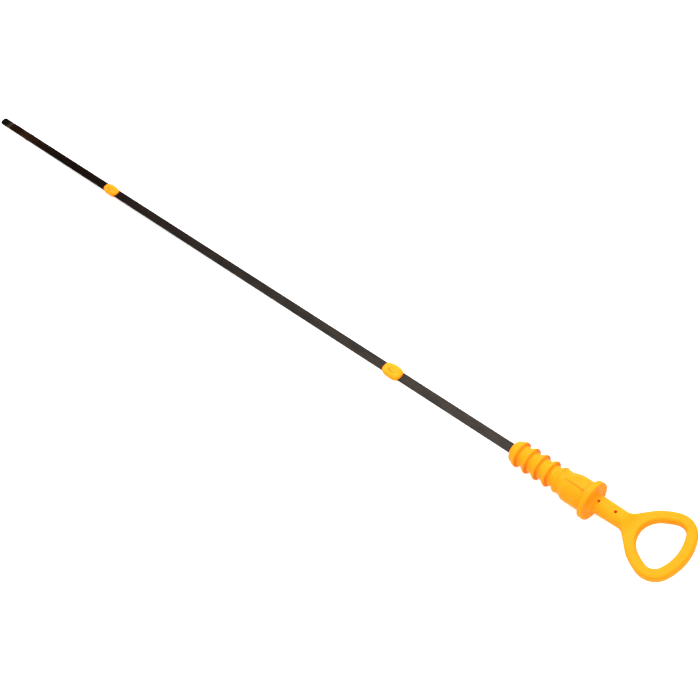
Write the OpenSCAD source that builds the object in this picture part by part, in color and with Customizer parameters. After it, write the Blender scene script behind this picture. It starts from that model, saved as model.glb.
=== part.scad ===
// Engine oil dipstick, in millimetres: a flat steel strip with a moulded
// plastic handle and two moulded guides.
// The origin is on the axis, in the flange face that seats on the tube's mouth.
// +X runs along the axis towards the finger ring, +Z is square to the ring's flat side.

/* [Blade] */
// Width of the steel strip
blade_w = 6; // [4:0.1:8]
// Thickness of the steel strip
blade_t = 1; // [0.6:0.1:2]
// Distance from the tube seat to the tip of the strip
dip_length = 576; // [480:1:700]
// Corner radius of the tip, on the +Y side
tip_round_a = 2.4; // [0.5:0.1:2.9]
// Corner radius of the tip, on the -Y side
tip_round_b = 2.6; // [0.5:0.1:2.9]
// Distance from the tip to the middle of the low mark
low_mark = 11.7; // [8:0.1:16]
// Distance from the low mark to the full mark
mark_gap = 27.2; // [18:0.1:40]
// Width of a pressed mark, along the strip
mark_w = 3; // [1.5:0.1:4]
// Depth of a pressed mark
mark_depth = 0.2; // [0.1:0.05:0.25]
// How far pressing a mark pushes each edge of the strip out
mark_swell = 0.25; // [0.1:0.05:0.4]
// How far the strip's hidden tang runs past the tube seat
tang = 20.5; // [12:0.5:21]
// Diameter of the hole that anchors the tang in the handle
anchor_d = 3; // [1.5:0.1:3.6]
// Distance from the tube seat to the anchor hole
anchor_x = 12; // [10:0.1:14]

/* [Guides] */
// Distance from the tube seat to the middle of the upper guide
upper_guide_x = 144.7; // [80:0.1:200]
// Distance from the tube seat to the middle of the lower guide
lower_guide_x = 428.5; // [300:0.1:460]
// Length of a guide, along the strip
guide_l = 15.4; // [13:0.1:20]
// Width of the upper guide
upper_guide_w = 8.8; // [7.4:0.1:11]
// Width of the lower guide
lower_guide_w = 7.6; // [7.4:0.1:11]
// Thickness of a guide
guide_t = 4.6; // [4.2:0.1:6]
// Width of a guide's end
guide_end_w = 5.2; // [4:0.1:6.4]
// Thickness of a guide's end
guide_end_t = 2.6; // [2:0.1:3.6]
// Length over which a guide tapers at each end
guide_taper = 4.4; // [3:0.1:5.5]
// Rounding where a guide's taper meets its sides
guide_round = 4; // [1:0.5:6]
// Rounding of a guide's corners, seen from above
end_round = 1.6; // [0.8:0.1:2]
// Rounding of a guide's end edges, seen from the side
end_edge = 0.6; // [0.3:0.1:0.9]
// Radius along a guide's long edges
guide_edge = 1.8; // [0.8:0.1:2]
// Length of the sink in a guide's upper side
sink_l = 6; // [3:0.1:7]
// Width of the sink
sink_w = 2; // [1:0.1:3]
// Depth of the sink
sink_depth = 0.9; // [0.3:0.1:1.2]

/* [Seal plug] */
// Radius over the seal ribs
rib_r = 7.75; // [7:0.05:9]
// Radius of the plug between the ribs
core_r = 5.9; // [5:0.05:6.5]
// Number of seal ribs
rib_count = 4; // [2:1:5]
// Spacing of the seal ribs
rib_pitch = 6.85; // [6:0.05:8]
// Distance from the tube seat to the seal rib nearest the flange
last_rib_x = 25.05; // [24:0.05:30]
// Width of the cylindrical land on a rib
rib_land = 0.8; // [0.4:0.05:1.2]
// Length of a rib's sloping flank, on the tip side
rib_lead = 3; // [2:0.05:3.2]
// Length of a rib's steep flank, on the flange side
rib_back = 1.6; // [0.8:0.05:2]
// Length of the nose in front of the first rib
nose_l = 4.9; // [4:0.1:7]
// Radius of the nose's front face
nose_r = 5.8; // [4.5:0.1:6.5]
// Rounding of the nose's front edge
nose_round = 0.9; // [0.3:0.1:1.5]
// Distance from the tube seat to the bead behind the ribs
bead_x = 18.9; // [18:0.05:20]
// Radius over that bead
bead_r = 7.6; // [7.3:0.05:8]
// Width of the bead's top
bead_land = 0.8; // [0.4:0.1:1.2]
// Length of the slope behind the bead
bead_back = 0.9; // [0.4:0.1:1.5]

/* [Shoulder and flange] */
// Radius of the collar behind the bead
collar_r = 7.2; // [6.6:0.05:7.3]
// Radius of the barrel under the flange
barrel_r = 8.75; // [8:0.05:9.5]
// Distance from the tube seat to the middle of the barrel's sloping shoulder
shoulder_x = 13.2; // [12:0.1:14]
// Length of that slope
shoulder_l = 3.4; // [2:0.1:4.5]
// Angle by which the shoulder stands askew
shoulder_skew = 8; // [0:0.5:12]
// Start of the groove in the barrel's upper side, from the tube seat
groove_start = 15; // [12:0.1:16]
// End of that groove, from the tube seat
groove_end = 1.8; // [1.5:0.1:5]
// Width of the groove
groove_w = 0.9; // [0.5:0.1:1.5]
// Depth of the groove
groove_depth = 0.6; // [0.3:0.1:1]
// Distance of the groove from the middle plane, towards -Y
groove_off = 1.3; // [0:0.1:2]
// Diameter of the pit at the groove's end
pit_d = 1.4; // [1:0.1:2]
// Depth of that pit
pit_depth = 1.1; // [0.6:0.1:1.5]
// Radius of the flange
flange_r = 11.2; // [10.5:0.05:14]
// Thickness of the flange
flange_t = 3.3; // [2:0.1:5]
// Rounding of the flange's edges
flange_round = 0.5; // [0.3:0.1:0.9]
// Fillet where the barrel and the neck meet the flange
root_fillet = 0.7; // [0.3:0.1:0.9]

/* [Neck] */
// Radius of the neck at the flange
neck_r = 5.25; // [4.8:0.05:6]
// Radius of the neck at the ring
neck_end_r = 4.9; // [4.4:0.05:5.4]
// Distance from the tube seat to the end of the neck
neck_end = 23.2; // [21.2:0.1:24]
// Diameter of the holes left by the pins that held the strip in the mould
pin_d = 1.5; // [0.8:0.1:2]
// Distance from the tube seat to the first pin hole
pin_x = 6.7; // [5:0.1:8]
// Spacing of the pin holes
pin_pitch = 10.5; // [9:0.1:12]

/* [Finger ring] */
// Distance from the tube seat to the ring's far end
ring_reach = 60; // [57:0.1:70]
// Distance from the tube seat to the near end of the ring's eye
eye_start = 32; // [31:0.1:34]
// Width of the ring's bar
bar_w = 5.9; // [4.5:0.1:7]
// Thickness of the ring's bar
bar_t = 5.8; // [4.5:0.1:7]
// Rounding of the bar's long edges
bar_round = 1.7; // [0.6:0.1:2.2]
// Radius of the far side's arc, at the middle of the bar
end_arc_r = 28.6; // [24:0.1:40]
// Radius of the two corners, at the middle of the bar
corner_r = 8.7; // [7:0.1:10]
// Distance of the corners' centres from the axis
corner_y = 8.35; // [7:0.05:10]
// Radius of the arc next to the neck, at the middle of the bar
near_arc_r = 15.3; // [12:0.1:16]
// Radius of the two long sides, at the middle of the bar
side_arc_r = 38; // [30:1:60]

/* [Hidden] */
$fn = 96;

// How far a cutter runs past the face that it opens
past = 1;

// Where the nose's front face is, and the seal ribs' middles
first_rib_x = last_rib_x + (rib_count - 1) * rib_pitch;
nose_x = first_rib_x + nose_l;

// The ring's arcs: each centre is worked out so that neighbours are tangent
end_c = [ring_reach - bar_w / 2 - end_arc_r, 0];
corner_c = [end_c.x + sqrt(pow(end_arc_r - corner_r, 2) - pow(corner_y, 2)), corner_y];
near_c = [eye_start - bar_w / 2 + near_arc_r, 0];
side_c = meet(near_c, side_arc_r - near_arc_r, corner_c, side_arc_r - corner_r);

// The directions, seen from the centres, in which one arc hands over to the next
end_to_corner = heading(end_c, corner_c);
corner_to_side = heading(side_c, corner_c);
side_to_near = heading(side_c, near_c);

// How far neighbouring arcs of the bar lap, and how much fuller every second one is
arc_lap = 0.2;
arc_hair = 0.01;

// The blend between the neck and the ring: a fan of facets that ends inside the bar
fan_from = 134;
fan_steps = 6;
fan_ball = 0.45 * bar_t;
fan_bite = 0.8;

// Direction from one point to another, in degrees
function heading(from, to) = atan2(to.y - from.y, to.x - from.x);

// The point at distance ra from a and rb from b that lies on the right of the way from a to b
function meet(a, ra, b, rb) =
    let (gap = norm(b - a), u = (b - a) / gap,
         along = (ra * ra - rb * rb + gap * gap) / (2 * gap),
         aside = sqrt(ra * ra - along * along))
    a + along * u + aside * [u.y, -u.x];

// The corner at b, between a and c, rounded by an arc of radius r in n steps
function rounded(a, b, c, r, n = 5) =
    let (u = (a - b) / norm(a - b), v = (c - b) / norm(c - b),
         half = acos(u * v) / 2,
         centre = b + (u + v) / norm(u + v) * r / sin(half),
         start = heading(centre, b + u * r / tan(half)),
         stop = heading(centre, b + v * r / tan(half)),
         turn = (stop - start + 540) % 360 - 180)
    [for (i = [0:n]) centre + r * [cos(start + turn * i / n), sin(start + turn * i / n)]];

// A profile drawn as distance along X and radius, turned about the X axis
module lathe() {
    rotate([0, -90, 0]) rotate_extrude() rotate(-90) children();
}

// A rectangle from its centre, with round corners
module soft_rect(w, h, r) {
    corners = [[w, h], [-w, h], [-w, -h], [w, -h]] / 2;
    polygon([for (i = [0:3]) each rounded(corners[(i + 3) % 4], corners[i], corners[(i + 1) % 4], r)]);
}

// A slot's outline along X, with round ends
module slot(from, to, w) {
    translate([from + w / 2, -w / 2]) square([to - from - w, w]);
    for (x = [from + w / 2, to - w / 2]) translate([x, 0]) circle(d = w);
}

// A list's points from its last to its first
function reversed(list) = [for (i = [len(list) - 1:-1:0]) list[i]];

// The bulge that pressing a mark leaves on the strip's +Y edge, from +X to -X
function edge_swell(x) =
    let (side = blade_w / 2, half = mark_w / 2, foot = half + 2 * mark_swell)
    [[x + foot, side], [x + half, side + mark_swell], [x - half, side + mark_swell], [x - foot, side]];

// The strip as stamped out, seen from above
module blade_outline() {
    side = blade_w / 2;
    tip = [-dip_length, 0];
    swell = edge_swell(tip.x + low_mark + mark_gap);
    polygon(concat(
        [[tang, -side], [tang, side]],
        swell,
        rounded([0, side], [tip.x, side], tip, tip_round_a),
        rounded(tip, [tip.x, -side], [0, -side], tip_round_b),
        [for (p = reversed(swell)) [p.x, -p.y]]));
}

module blade() {
    color("#2b2724")
    difference() {
        translate([0, 0, -blade_t / 2]) linear_extrude(blade_t) blade_outline();
        translate([anchor_x, 0, 0]) cylinder(h = blade_t + 2 * past, d = anchor_d, center = true);
        for (x = [low_mark, low_mark + mark_gap], side = [0, 1])
            mirror([0, 0, side]) pressed_mark(x - dip_length);
    }
}

// The shallow groove of a level mark, across the strip's upper side
module pressed_mark(x) {
    translate([x - mark_w / 2, -blade_w, blade_t / 2 - mark_depth])
        cube([mark_w, 2 * blade_w, blade_t]);
}

// The room that the strip takes up in a moulding
module blade_room() {
    translate([-dip_length, -blade_w / 2, -blade_t / 2]) cube([dip_length + tang, blade_w, blade_t]);
}

// One seal rib's outline: a long lead, a narrow land and a steep back
function rib_outline(x) = [
    [x - rib_land / 2 - rib_lead, core_r],
    [x - rib_land / 2, rib_r],
    [x + rib_land / 2, rib_r],
    [x + rib_land / 2 + rib_back, core_r]];

// The plug's nose and its first rib, which has the nose for a lead
function nose_outline() =
    let (front = [-nose_x, nose_r], first = rib_outline(-first_rib_x))
    concat(rounded([-nose_x, 0], front, first[1], nose_round), [first[1], first[2], first[3]]);

// The bead behind the seal ribs, and the collar up to the barrel
function bead_outline() = [
    [-bead_x - bead_land / 2 - (bead_r - core_r), core_r],
    [-bead_x - bead_land / 2, bead_r],
    [-bead_x + bead_land / 2, bead_r],
    [-bead_x + bead_land / 2 + bead_back, collar_r],
    [-root_fillet - past, collar_r]];

// The flange with its two root fillets and its rounded rim, and the neck behind it
function flange_outline() =
    let (front = [0, flange_r], back = [flange_t, flange_r])
    concat(
        rounded([-root_fillet - past, barrel_r], [0, barrel_r], front, root_fillet),
        rounded([0, 0], front, back, flange_round),
        rounded(front, back, [flange_t, 0], flange_round),
        rounded(back, [flange_t, neck_r], [neck_end, neck_end_r], root_fillet),
        [[neck_end, neck_end_r]]);

// Everything turned on the axis, from the nose to the end of the neck
function stem_outline() = concat(
    nose_outline(),
    [for (i = [rib_count - 2:-1:0]) each rib_outline(-last_rib_x - i * rib_pitch)],
    bead_outline(),
    flange_outline());

// The barrel under the flange, whose sloping shoulder stands askew
module barrel() {
    slope = (barrel_r - collar_r) / shoulder_l;
    middle_r = (barrel_r + collar_r) / 2;
    intersection() {
        lathe() translate([-nose_x, 0]) square([nose_x + flange_t / 2, barrel_r]);
        translate([-shoulder_x, 0, 0]) rotate([0, 0, -shoulder_skew]) lathe() polygon([
            [-shoulder_l, 0],
            [nose_x, 0],
            [nose_x, middle_r + slope * nose_x],
            [-shoulder_l, middle_r - slope * shoulder_l]]);
    }
}

// The handle's turned forms, from the nose to the end of the neck
module stem() {
    lathe() polygon(concat([[-nose_x, 0], [neck_end, 0]], reversed(stem_outline())));
    barrel();
}

// One stretch of the ring's bar: its section carried round an arc
module bar_arc(centre, r, from, to, extra = 0) {
    translate([centre.x, centre.y, 0]) rotate([0, 0, from]) rotate_extrude(angle = to - from)
        translate([r, 0]) soft_rect(bar_w + 2 * extra, bar_t + 2 * extra, bar_round + extra);
}

// The same, run on at both ends into the neighbouring arcs
module run_on_arc(centre, r, from, to) {
    more = arc_lap / r * 180 / PI;
    bar_arc(centre, r, from - more, to + more);
}

// The ring, in which the far arc and the long sides end inside their slightly fuller neighbours
module finger_ring() {
    run_on_arc(end_c, end_arc_r, -end_to_corner, end_to_corner);
    for (side = [0, 1]) mirror([0, side, 0]) {
        bar_arc(corner_c, corner_r, end_to_corner, corner_to_side, arc_hair);
        run_on_arc(side_c, side_arc_r, corner_to_side, side_to_near);
    }
    bar_arc(near_c, near_arc_r, side_to_near, 360 - side_to_near, arc_hair);
}

// The blend from the round neck into the flat ring
module neck_blend() {
    step = (360 - 2 * fan_from) / fan_steps;
    for (i = [0:fan_steps - 1]) hull() {
        translate([neck_end - fan_bite, 0, 0]) rotate([0, 90, 0])
            cylinder(h = fan_bite, r = neck_end_r, $fn = 32);
        for (a = [fan_from + i * step, fan_from + (i + 1) * step])
            translate([near_c.x + near_arc_r * cos(a), near_arc_r * sin(a), 0])
                sphere(fan_ball, $fn = 16);
    }
}

// The holes that the pins of the mould left, down to the strip from both sides
module pin_holes() {
    for (x = [pin_x, pin_x + pin_pitch], side = [0, 1]) mirror([0, 0, side])
        translate([x, 0, blade_t / 2]) cylinder(h = neck_r + past, d = pin_d);
}

// The groove in the barrel's upper side, with the pit at its end
module barrel_groove() {
    translate([0, -groove_off, barrel_r - groove_depth]) linear_extrude(groove_depth + past)
        slot(-groove_start, -groove_end, groove_w);
    translate([-groove_end - groove_w / 2, -groove_off, barrel_r - pit_depth])
        cylinder(h = pit_depth + past, d = pit_d);
}

module handle() {
    color("#ffb020") {
        difference() {
            union() {
                stem();
                neck_blend();
                finger_ring();
            }
            blade_room();
            pin_holes();
            barrel_groove();
        }
        translate([anchor_x, 0, 0]) cylinder(h = blade_t, d = anchor_d, center = true);
    }
}

// A long six-sided outline, wide in its middle and narrow at its ends, with rounded corners
module spindle(l, mid_w, end_w, corner_round) {
    shoulder = [l / 2 - guide_taper, mid_w / 2];
    corner = [l / 2, end_w / 2];
    quarter = concat(rounded([l / 2, 0], corner, shoulder, corner_round),
                     rounded(corner, shoulder, [0, mid_w / 2], guide_round));
    half = concat(quarter, [for (p = reversed(quarter)) [-p.x, p.y]]);
    polygon(concat(half, [for (p = half) -p]));
}

// A guide moulded round the strip, with its middle at the origin
module guide_body(w) {
    difference() {
        intersection() {
            translate([0, 0, -guide_t / 2]) linear_extrude(guide_t) spindle(guide_l, w, guide_end_w, end_round);
            rotate([90, 0, 0]) translate([0, 0, -w / 2]) linear_extrude(w)
                spindle(guide_l, guide_t, guide_end_t, end_edge);
            rotate([90, 0, 90]) translate([0, 0, -guide_l / 2]) linear_extrude(guide_l)
                soft_rect(w, guide_t, guide_edge);
        }
        translate([0, 0, guide_t / 2 - sink_depth]) linear_extrude(sink_depth + past)
            slot(-sink_l / 2, sink_l / 2, sink_w);
    }
}

// A guide in its place on the strip
module guide(x, w) {
    color("#ffb32a")
    difference() {
        translate([-x, 0, 0]) guide_body(w);
        blade_room();
    }
}

module upper_guide() {
    guide(upper_guide_x, upper_guide_w);
}

module lower_guide() {
    guide(lower_guide_x, lower_guide_w);
}

blade();
handle();
upper_guide();
lower_guide();
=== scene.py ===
# %% [markdown]
# # An engine oil dipstick, dressed for its picture
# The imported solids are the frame: a steel strip, a moulded handle and two moulded guides.
# They fix every size and place. This file gives them the skin of the real thing: soft moulded
# edges, satin orange plastic and a blackened strip that oil has stained. Lengths are worked
# out in millimetres, as in the drawing, and turned into metres in one place.

# %% Load the frame
import bmesh
import bpy
import numpy as np
from math import radians, tau
from mathutils import Matrix, Vector


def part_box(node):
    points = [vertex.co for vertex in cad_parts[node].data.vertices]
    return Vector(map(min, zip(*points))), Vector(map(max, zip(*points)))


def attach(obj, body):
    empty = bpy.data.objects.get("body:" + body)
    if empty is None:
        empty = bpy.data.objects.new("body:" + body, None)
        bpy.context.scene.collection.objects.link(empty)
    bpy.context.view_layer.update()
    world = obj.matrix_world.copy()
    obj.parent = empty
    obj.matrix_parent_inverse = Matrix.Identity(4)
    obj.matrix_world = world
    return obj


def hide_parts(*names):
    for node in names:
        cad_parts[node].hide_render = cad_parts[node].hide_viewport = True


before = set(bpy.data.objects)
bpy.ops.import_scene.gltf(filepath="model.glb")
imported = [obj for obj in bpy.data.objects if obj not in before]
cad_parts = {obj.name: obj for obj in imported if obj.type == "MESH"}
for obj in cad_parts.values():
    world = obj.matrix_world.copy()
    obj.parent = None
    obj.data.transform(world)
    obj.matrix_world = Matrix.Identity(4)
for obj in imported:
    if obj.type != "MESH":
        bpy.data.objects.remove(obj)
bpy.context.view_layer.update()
MM = 0.001

# %% [markdown]
# ## Driving sizes
# A visual model that is drawn from typed numbers drifts away from its solids when they change.
# So the ends and widths of each piece are read from the solids' own boxes, and only what a box
# can't tell, such as the size of a rib or the place of a hole, is written here as a number.

# %% Read the boxes of the solids
def box_mm(node):
    """Lowest and highest corner of one solid, in millimetres."""
    return [np.round(np.array(corner) / MM, 3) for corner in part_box(node)]


HANDLE_LOW, HANDLE_HIGH = box_mm("handle")
BLADE_LOW, BLADE_HIGH = box_mm("blade")
print("handle:", HANDLE_LOW, HANDLE_HIGH, "blade:", BLADE_LOW, BLADE_HIGH)

# %% [markdown]
# ## Camera
# The photograph was taken from above the ring end, looking down at about fifty degrees, with
# the strip running away to the upper left. A camera can be turned by hand until its picture
# fits, but measured points are surer, so a pinhole camera was fitted to points of the strip,
# ribs and ring. Its place, the directions of the picture's sides and its lens are plain
# numbers here.

# %% Place the camera
CAMERA_AT = Vector((0.219777, -0.192871, 0.560971))
CAMERA_RIGHT = Vector((0.696996, 0.665224, -0.267718))
CAMERA_DOWN = Vector((0.452392, -0.697600, -0.555604))
CAMERA_LENS, CAMERA_SENSOR = 60.4516, 36.0


def place_camera(at, right, down):
    """A camera whose picture runs along right and down.

    The camera's own axes are then right, minus down, and the cross product of the two.
    """
    data = bpy.data.cameras.new("camera")
    data.sensor_fit = "HORIZONTAL"
    data.sensor_width, data.lens = CAMERA_SENSOR, CAMERA_LENS
    data.clip_start, data.clip_end = 0.01, 20.0
    right = right.normalized()
    up = -(down - down.dot(right) * right).normalized()
    turn = Matrix((right, up, right.cross(up))).transposed().to_4x4()
    camera = bpy.data.objects.new("camera", data)
    bpy.context.scene.collection.objects.link(camera)
    camera.matrix_world = Matrix.Translation(at) @ turn
    bpy.context.scene.camera = camera
    return camera


camera = place_camera(CAMERA_AT, CAMERA_RIGHT, CAMERA_DOWN)
print("camera looks along", [round(v, 3) for v in -camera.matrix_world.col[2].to_3d()])

# %% [markdown]
# ## Helpers for surfaces
# Most moulded forms are either a profile turned about an axis or a section carried along a
# line. Both are grids: rows of points, joined row by row. The helpers below soften the
# corners of a profile, and turn a grid of points into the faces that join it. Whole arrays
# are worked out at once, which is fast and keeps each formula in one line.

# %% Soft corners
STRAIGHT = 1.55


def soften(points, radii, steps):
    """Rounds each corner of an open polyline by an arc that is tangent to both sides.

    The arc's centre lies on the corner's bisector, at radius / sin(half the angle) from the
    corner. A radius of 0, or half an angle past STRAIGHT, keeps the corner as one point.
    """
    points = np.asarray(points, float)
    out = [points[:1]]
    for a, b, c, r in zip(points[:-2], points[1:-1], points[2:], radii):
        u = (a - b) / np.linalg.norm(a - b)
        v = (c - b) / np.linalg.norm(c - b)
        half = np.arccos(np.clip(u @ v, -1, 1)) / 2
        if r == 0 or half > STRAIGHT:
            out.append(b[None])
            continue
        centre = b + (u + v) / np.linalg.norm(u + v) * r / np.sin(half)
        first = b + u * r / np.tan(half) - centre
        last = b + v * r / np.tan(half) - centre
        start = np.arctan2(first[1], first[0])
        turn = (np.arctan2(last[1], last[0]) - start + np.pi) % tau - np.pi
        angle = start + turn * np.linspace(0, 1, steps + 1)
        out.append(centre + r * np.column_stack([np.cos(angle), np.sin(angle)]))
    return np.vstack(out + [points[-1:]])


print("a right angle with a radius of 1 mm:", len(soften([(4, 0), (0, 0), (0, 4)], [1], steps=4)), "points")


# %% A bar's section
def soft_bar(w, t, edge, count):
    """A section of width w and height t with edges of a radius, as points at even steps.

    The first point is the middle of its outer side. Points lie where the length walked along
    the softened outline is an even share of the whole.
    """
    corners = np.array([[w, 0], [w, t], [-w, t], [-w, -t], [w, -t], [w, 0]]) / 2
    line = soften(corners, [edge] * 4, steps=24)
    step = np.concatenate([[0], np.cumsum(np.linalg.norm(np.diff(line, axis=0), axis=1))])
    s = np.arange(count) / count * step[-1]
    return np.column_stack([np.interp(s, step, line[:, k]) for k in (0, 1)])


print("first of the points round a bar 6 mm wide:", soft_bar(6, 4, 1, 8)[0].round(2))


# %% Soft steps
def ease(t):
    """A soft step from 0 to 1: three t squared minus two t cubed."""
    t = np.clip(t, 0, 1)
    return t * t * (3 - 2 * t)


def soft_min(a, b, k):
    """The smaller of a and b, less h squared times k / 4, with h = 1 - |a - b| / k where that is above 0."""
    h = np.maximum(k - np.abs(a - b), 0) / k
    return np.minimum(a, b) - h * h * k / 4


print("a soft step at a quarter, a half and three quarters:", ease(np.array([0.25, 0.5, 0.75])))


# %% Faces of a grid
def grid_faces(rows, columns):
    """Joins a grid of points, row after row, into four-sided faces, each row closed into a loop."""
    i, j = np.meshgrid(np.arange(rows - 1), np.arange(columns), indexing="ij")
    k = (j + 1) % columns
    corners = [i * columns + j, i * columns + k, (i + 1) * columns + k, (i + 1) * columns + j]
    return np.stack(corners, -1).reshape(-1, 4)


print("a grid of 3 rows of 8 points has", len(grid_faces(3, 8)), "faces")

# %% [markdown]
# ## From points to a piece
# A new piece is a mesh object at the origin. Doubled points, as at a pole where a whole row
# falls together, are merged, faces are turned outwards, and edges sharper than an angle stay
# crisp while all others are shaded smooth. Painted shade is stored on the points as a number
# from 0 to 1, because it lies in hollows where shade falls, and the finish reads that number.
# Each helper prints what it made.

# %% Make a piece
def make_piece(name, points_mm, faces):
    """Puts points (in mm) and faces into a new mesh object."""
    mesh = bpy.data.meshes.new(name)
    mesh.from_pydata((np.asarray(points_mm) * MM).tolist(), [], np.asarray(faces).tolist())
    mesh.validate()
    piece = bpy.data.objects.new(name, mesh)
    bpy.context.scene.collection.objects.link(piece)
    print(name, "has", len(mesh.vertices), "points and", len(mesh.polygons), "faces")
    return piece


print("a point drawn at 10 mm goes into a mesh as", 10 * MM, "m")

# %% Soil and close a piece
CRISP_PLASTIC, CRISP_STEEL = 38, 35
SAME_POINT, NO_LENGTH = 1e-8, 1e-9


def store_painted_shade(piece, values):
    """Stores how much painted shade each point holds, darker where shade falls, for the plastic's finish to
    read.
    """
    # The stored values are painted shade: a darker colour in hollows, not a real stain.
    layer = piece.data.attributes.new("painted_shade", "FLOAT", "POINT")
    layer.data.foreach_set("value", values.astype(np.float32))
    print(piece.name, "points with grime:", int((values > 0.01).sum()))


def close_up(piece, sharp):
    """Merges doubled points, drops faces left without area, and turns the others outwards.

    Edges where faces meet at more than the sharp angle, in degrees, stay crisp.
    """
    net = bmesh.new()
    net.from_mesh(piece.data)
    bmesh.ops.remove_doubles(net, verts=net.verts, dist=SAME_POINT)
    bmesh.ops.dissolve_degenerate(net, edges=net.edges, dist=NO_LENGTH)
    bmesh.ops.recalc_face_normals(net, faces=net.faces)
    open_edges = sum(not e.is_manifold for e in net.edges)
    net.to_mesh(piece.data)
    net.free()
    piece.data.polygons.foreach_set("use_smooth", np.ones(len(piece.data.polygons), bool))
    piece.data.set_sharp_from_angle(angle=radians(sharp))
    print(piece.name, "open edges:", open_edges, "faces:", len(piece.data.polygons))
    return piece


print("edges stay crisp past", CRISP_PLASTIC, "degrees on plastic and", CRISP_STEEL, "degrees on steel")

# %% [markdown]
# ## Handle: the turned part
# From its nose to the end of its neck the handle is round, as if turned on a lathe. Its
# profile is drawn as distance along the axis and radius: nose, four seal ribs with a long
# lead and a steep back, bead, collar, flange and neck. A lathe modifier could turn it, but
# the grid of points is needed later for the holes. In the mould every edge is a little soft,
# so each corner gets a small radius.

# %% The neck and the pins' places
FLANGE_R, FLANGE_T = HANDLE_HIGH[2], 3.3
NECK_R, NECK_END_R, NECK_END = 5.25, 4.9, 23.2
PIN_X, HOLE_SPAN = (6.7, 17.2), 1.5


def neck_radius(x):
    """The neck tapers evenly from the flange to its end."""
    return NECK_R + (NECK_END_R - NECK_R) * (x - FLANGE_T) / (NECK_END - FLANGE_T)


print("the neck's radius at its pins:", [round(neck_radius(x), 2) for x in PIN_X])

# %% The ribs, bead and collar
NOSE_X, NOSE_R = HANDLE_LOW[0], 5.8
CORE_R, RIB_R, RIB_PITCH, RIB_COUNT = 5.9, 7.75, 6.85, 4
RIB_X, RIB_LEAD, RIB_FLAT, RIB_BACK = NOSE_X + 4.9, 3.4, 0.4, 1.3
BEAD_R, BEAD_RISE, BEAD_FROM, BEAD_TO, BEAD_FALL = 7.6, -21.0, -19.3, -18.5, -17.6
COLLAR_R, COLLAR_X = 7.2, -16.9


def rib_corners(x, edge):
    """Corners (x, radius, softness): the lead's foot, the narrow crest's two edges, the back's foot."""
    return [(x - RIB_LEAD, CORE_R, 2.2), (x - RIB_FLAT, RIB_R, edge),
            (x + RIB_FLAT, RIB_R, 0.4), (x + RIB_BACK, CORE_R, 0.6)]


def front_profile():
    """From the nose's middle to the collar. The first rib's lead is the nose's own cone."""
    corners = [(NOSE_X, 0, 0), (NOSE_X, NOSE_R, 0.9)] + rib_corners(RIB_X, 0.6)[1:]
    for k in range(1, RIB_COUNT):
        corners += rib_corners(RIB_X + k * RIB_PITCH, 1.0)
    corners += [(BEAD_RISE, CORE_R, 0.7), (BEAD_FROM, BEAD_R, 0.4)]
    corners += [(BEAD_TO, BEAD_R, 0.5), (BEAD_FALL, COLLAR_R, 0.6)]
    return soften([c[:2] for c in corners] + [(COLLAR_X, COLLAR_R)], [c[2] for c in corners[1:]], steps=4)


front = front_profile()
print("profile points in front of the barrel:", len(front))

# %% The flange
BARREL_R, BARREL_END = 8.75, -0.9
BARREL_EDGE, FLANGE_FRONT, FLANGE_REAR, FLANGE_FILLET = 0.7, 0.55, 0.6, 1.85


def rear_profile():
    """From the barrel's end over the flange, with a fillet at its root, to the first pin holes."""
    stop = PIN_X[0] - HOLE_SPAN
    corners = [(BARREL_END, BARREL_R), (0, BARREL_R), (0, FLANGE_R), (FLANGE_T, FLANGE_R),
               (FLANGE_T, neck_radius(FLANGE_T)), (stop, neck_radius(stop))]
    return soften(corners, [BARREL_EDGE, FLANGE_FRONT, FLANGE_REAR, FLANGE_FILLET], steps=6)


rear = rear_profile()
print("profile points behind the barrel:", len(rear))

# %% [markdown]
# ## Handle: the skewed shoulder
# Where the collar swells into the barrel, the step stands askew: it starts earlier on one
# side. The mould's inner face was cut like that, perhaps so that the stick can't turn in its
# tube. A skewed cone makes the same step. The barrel's radius then depends on the angle, and
# the row of points stays straight, which keeps the grid simple.

# %% The barrel's radius
SHOULDER_X, SHOULDER_L, SHOULDER_SOFT, SKEW = -13.2, 3.4, 0.5, radians(8)


def barrel_radius(x, angle):
    """The smaller of the barrel and a cone whose axis is turned by the skew, never less than the collar.

    A point at radius r lies on the cone where its distance from the cone's axis is the middle
    radius plus the slope times its place along that axis; r is corrected by that ratio until
    it settles.
    """
    slope, middle = (BARREL_R - COLLAR_R) / SHOULDER_L, (BARREL_R + COLLAR_R) / 2
    r = np.full(np.broadcast(x, angle).shape, middle)
    for _ in range(6):
        y, z = r * np.cos(angle), r * np.sin(angle)
        along = np.cos(SKEW) * (x - SHOULDER_X) - np.sin(SKEW) * y
        across = np.sin(SKEW) * (x - SHOULDER_X) + np.cos(SKEW) * y
        r = r * np.maximum(middle + slope * along, 1) / np.hypot(across, z)
    below_barrel = soft_min(r, BARREL_R, SHOULDER_SOFT)
    return -soft_min(-np.full_like(r, COLLAR_R), -below_barrel, SHOULDER_SOFT)


print("barrel's radius in mid-shoulder, +Y and -Y side:",
      barrel_radius(np.full(2, SHOULDER_X), np.array([0, np.pi])).round(2))

# %% [markdown]
# ## Handle: groove, pit and pin holes
# A shallow groove with a pit at its end runs along the barrel's top, and the pins that held
# the strip in the mould left four holes in the neck, two above and two below. Cutting them
# with a boolean would leave ragged edges. Here the grid's own points move: the groove presses
# them down, and the square mesh lines round a hole are bent into circles before those inside
# sink. The lines stand close where they are needed and wide elsewhere.

# %% Mesh lines round the axis
HOLE_TURN, EVEN_TO, EVEN_LINES = 16.4, 67.9, 13
HOLE_STEPS = np.array([0, 2, 3.91, 6.2, 7.65, 8.2, 8.65, 9.3, 10.55, 12, 14, HOLE_TURN])
TOP_STEPS = np.array([HOLE_TURN, 14, 12, 11.1, 10.25, 9.3, 8.65, 8.2, 7.65, 6.85, 6, 5.1, 2.6])


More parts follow.
